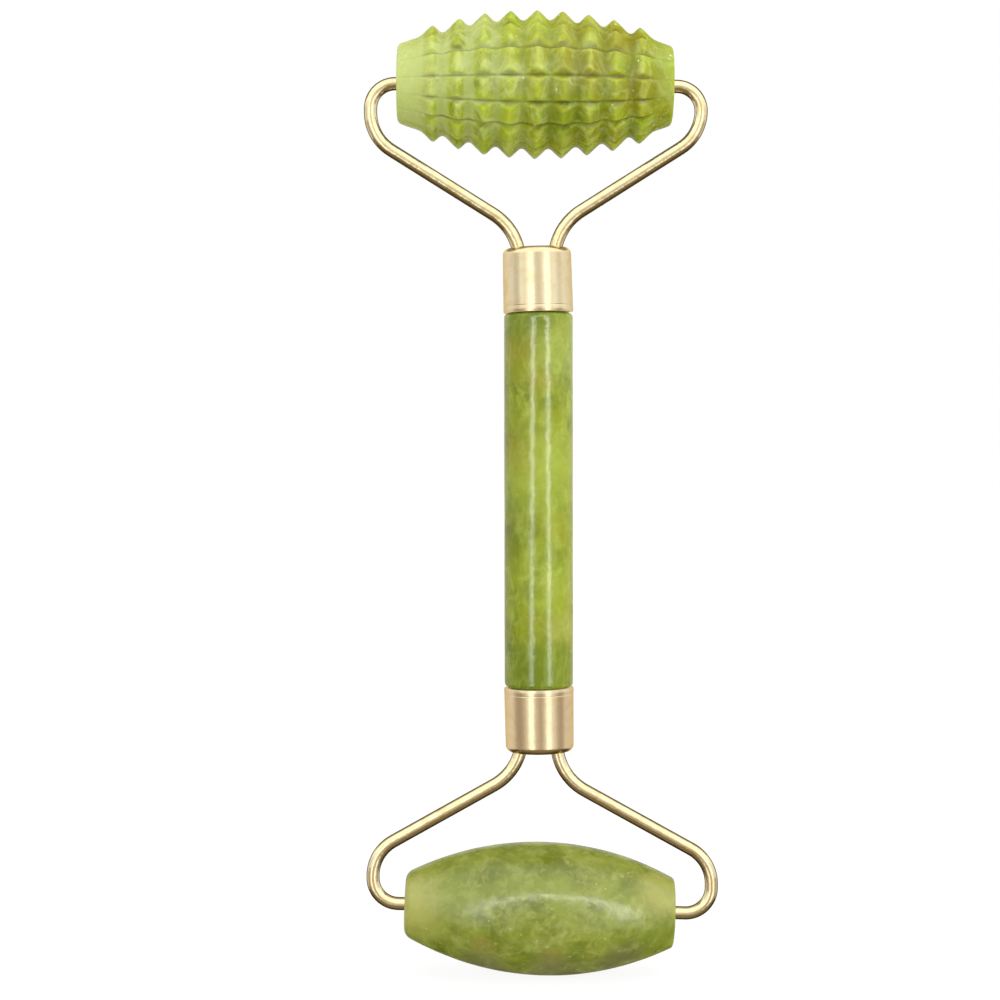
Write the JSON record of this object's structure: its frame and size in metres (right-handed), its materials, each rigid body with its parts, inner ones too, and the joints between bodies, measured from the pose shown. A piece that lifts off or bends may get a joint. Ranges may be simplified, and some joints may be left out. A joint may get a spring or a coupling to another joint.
{
  "type": "jade face roller",
  "caption": "Double-ended face roller: a round stone handle with gold wire forks, a ridged stone roller at the top and a smooth barrel-shaped stone roller at the bottom.",
  "frame": {"origin": "centre of the handle, on its axis", "axes": "+Z along the handle towards the ridged roller, +X along the roller axes, -Y towards the front"},
  "size_m": [0.0549, 0.0228, 0.1498],
  "materials": {
    "handle_stone": "polished green stone with cloudy bands",
    "ridged_stone": "polished green stone, paler at one end",
    "smooth_stone": "polished pale green stone with darker patches",
    "ferrule_metal": "satin pale gold plating",
    "fork_wire": "polished pale gold plating",
    "epoxy": "cured clear resin",
    "nylon": "natural nylon"
  },
  "bodies": {
    "handle_and_forks": {"handle": "handle_stone", "upper_ferrule": "ferrule_metal", "lower_ferrule": "ferrule_metal", "upper_fork": "fork_wire", "lower_fork": "fork_wire", "upper_potting": "epoxy", "lower_potting": "epoxy"},
    "ridged_head": {"ridged_roller": "ridged_stone", "ridged_roller_left_bush": "nylon", "ridged_roller_right_bush": "nylon"},
    "smooth_head": {"smooth_roller": "smooth_stone", "smooth_roller_left_bush": "nylon", "smooth_roller_right_bush": "nylon"}
  },
  "joints": [
    {"name": "ridged_roller_spin", "type": "hinge", "parent": "handle_and_forks", "child": "ridged_head", "pos_m": [-0.0005, 0, 0.06431], "axis": [0.9999, 0, -0.0113], "continuous": true},
    {"name": "smooth_roller_spin", "type": "hinge", "parent": "handle_and_forks", "child": "smooth_head", "pos_m": [0, 0, -0.0638], "axis": [0.9994, 0, -0.0349], "continuous": true}
  ]
}
